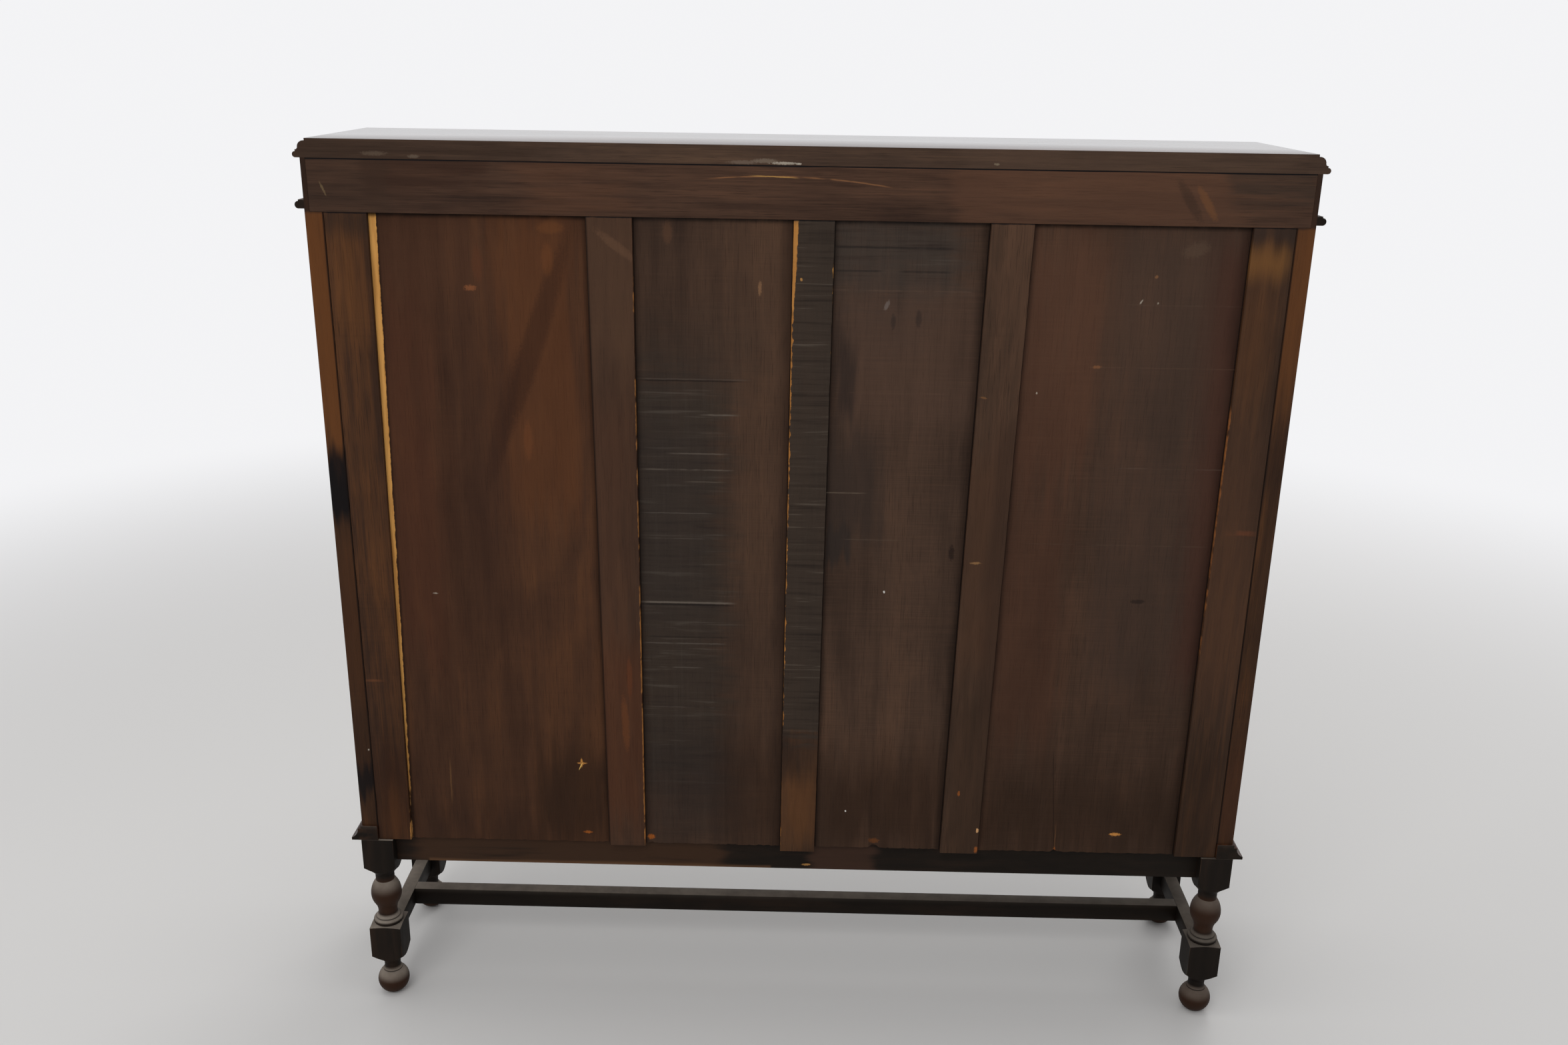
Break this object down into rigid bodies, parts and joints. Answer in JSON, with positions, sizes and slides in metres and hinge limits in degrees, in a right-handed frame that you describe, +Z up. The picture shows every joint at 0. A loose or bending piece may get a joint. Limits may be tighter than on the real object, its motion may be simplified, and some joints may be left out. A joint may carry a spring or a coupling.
{
  "type": "display cabinet",
  "caption": "Shallow display cabinet with hinged glazed doors, fixed shelves, a moulded top and a panelled back, on a low stand with turned legs and an H-stretcher.",
  "frame": {"origin": "on the floor, under the middle of the whole cabinet's box", "axes": "+X to the right as seen from the front, +Y from front to back, +Z up"},
  "size_m": [1.436, 0.3235, 1.4],
  "materials": {
    "polished_wood": "polished dark stain",
    "front_wood": "satin dark stain",
    "post_wood": "worn dark stain",
    "side_panel_wood": "satin dark stain",
    "inside_wood": "thin dark stain",
    "back_frame_wood": "thin dark stain over saw marks",
    "back_panel_wood": "thin dark stain on veneered board",
    "stand_wood": "satin black-brown stain",
    "glass": "clear sheet",
    "brass": "aged, dull",
    "steel": "darkened"
  },
  "bodies": {
    "cabinet": {"top_board": "polished_wood", "frieze_rail": "front_wood", "string_moulding": "front_wood", "base_moulding": "front_wood", "left_front_post": "front_wood", "right_front_post": "front_wood", "left_rear_post": "post_wood", "right_rear_post": "post_wood", "side_rails": "front_wood", "left_side_panel": "side_panel_wood", "right_side_panel": "side_panel_wood", "bottom_board": "inside_wood", "left_partition": "inside_wood", "right_partition": "inside_wood", "outer_shelves": "inside_wood", "centre_shelves": "inside_wood", "shelf_bearers": "inside_wood", "back_rail": "back_frame_wood", "left_back_stile": "back_frame_wood", "right_back_stile": "back_frame_wood", "left_muntin": "back_frame_wood", "centre_muntin": "back_frame_wood", "right_muntin": "back_frame_wood", "back_panel_far_left": "back_panel_wood", "back_panel_mid_left": "back_panel_wood", "back_panel_mid_right": "back_panel_wood", "back_panel_far_right": "back_panel_wood", "front_left_leg": "stand_wood", "front_right_leg": "stand_wood", "rear_left_leg": "stand_wood", "rear_right_leg": "stand_wood", "front_apron": "stand_wood", "rear_apron": "stand_wood", "side_aprons": "stand_wood", "side_stretchers": "stand_wood", "long_stretcher": "stand_wood", "fixed_hinge_leaves": "brass", "hinge_pins": "steel"},
    "left_door": {"left_door_frame": "front_wood", "left_door_glass": "glass", "left_door_glazing_bars": "front_wood", "left_door_hinge_leaves": "brass", "left_door_lock": "brass"},
    "left_bolt": {"left_door_bolt": "brass"},
    "left_key": {"left_door_key": "steel"},
    "centre_door": {"centre_door_frame": "front_wood", "centre_door_glass": "glass", "centre_door_glazing_bars": "front_wood", "centre_door_hinge_leaves": "brass", "centre_door_lock": "brass"},
    "centre_bolt": {"centre_door_bolt": "brass"},
    "centre_key": {"centre_door_key": "steel"},
    "right_door": {"right_door_frame": "front_wood", "right_door_glass": "glass", "right_door_glazing_bars": "front_wood", "right_door_hinge_leaves": "brass", "right_door_lock": "brass"},
    "right_bolt": {"right_door_bolt": "brass"},
    "right_key": {"right_door_key": "steel"}
  },
  "joints": [
    {"name": "left_door_swing", "type": "hinge", "parent": "cabinet", "child": "left_door", "pos_m": [-0.673, -0.13905, 0], "axis": [0, 0, -1], "range_deg": [0, 160]},
    {"name": "left_key_turn", "type": "hinge", "parent": "left_door", "child": "left_key", "pos_m": [-0.304, -0.13525, 0.834], "axis": [0, 1, 0], "range_deg": [0, 180]},
    {"name": "left_bolt_slide", "type": "slide", "parent": "left_door", "child": "left_bolt", "axis": [1, 0, 0], "range_m": [0, 0.007]},
    {"name": "centre_door_swing", "type": "hinge", "parent": "cabinet", "child": "centre_door", "pos_m": [-0.263, -0.13905, 0], "axis": [0, 0, -1], "range_deg": [0, 110]},
    {"name": "centre_key_turn", "type": "hinge", "parent": "centre_door", "child": "centre_key", "pos_m": [0.244, -0.13525, 0.834], "axis": [0, 1, 0], "range_deg": [0, 180]},
    {"name": "centre_bolt_slide", "type": "slide", "parent": "centre_door", "child": "centre_bolt", "axis": [1, 0, 0], "range_m": [0, 0.007]},
    {"name": "right_door_swing", "type": "hinge", "parent": "cabinet", "child": "right_door", "pos_m": [0.673, -0.13905, 0], "axis": [0, 0, 1], "range_deg": [0, 160]},
    {"name": "right_key_turn", "type": "hinge", "parent": "right_door", "child": "right_key", "pos_m": [0.304, -0.13525, 0.834], "axis": [0, -1, 0], "range_deg": [0, 180]},
    {"name": "right_bolt_slide", "type": "slide", "parent": "right_door", "child": "right_bolt", "axis": [-1, 0, 0], "range_m": [0, 0.007]}
  ],
  "couplings": [
    {"joint": "left_bolt_slide", "follows": "left_key_turn", "m_per_rad": 0.002228},
    {"joint": "centre_bolt_slide", "follows": "centre_key_turn", "m_per_rad": 0.002228},
    {"joint": "right_bolt_slide", "follows": "right_key_turn", "m_per_rad": 0.002228}
  ]
}
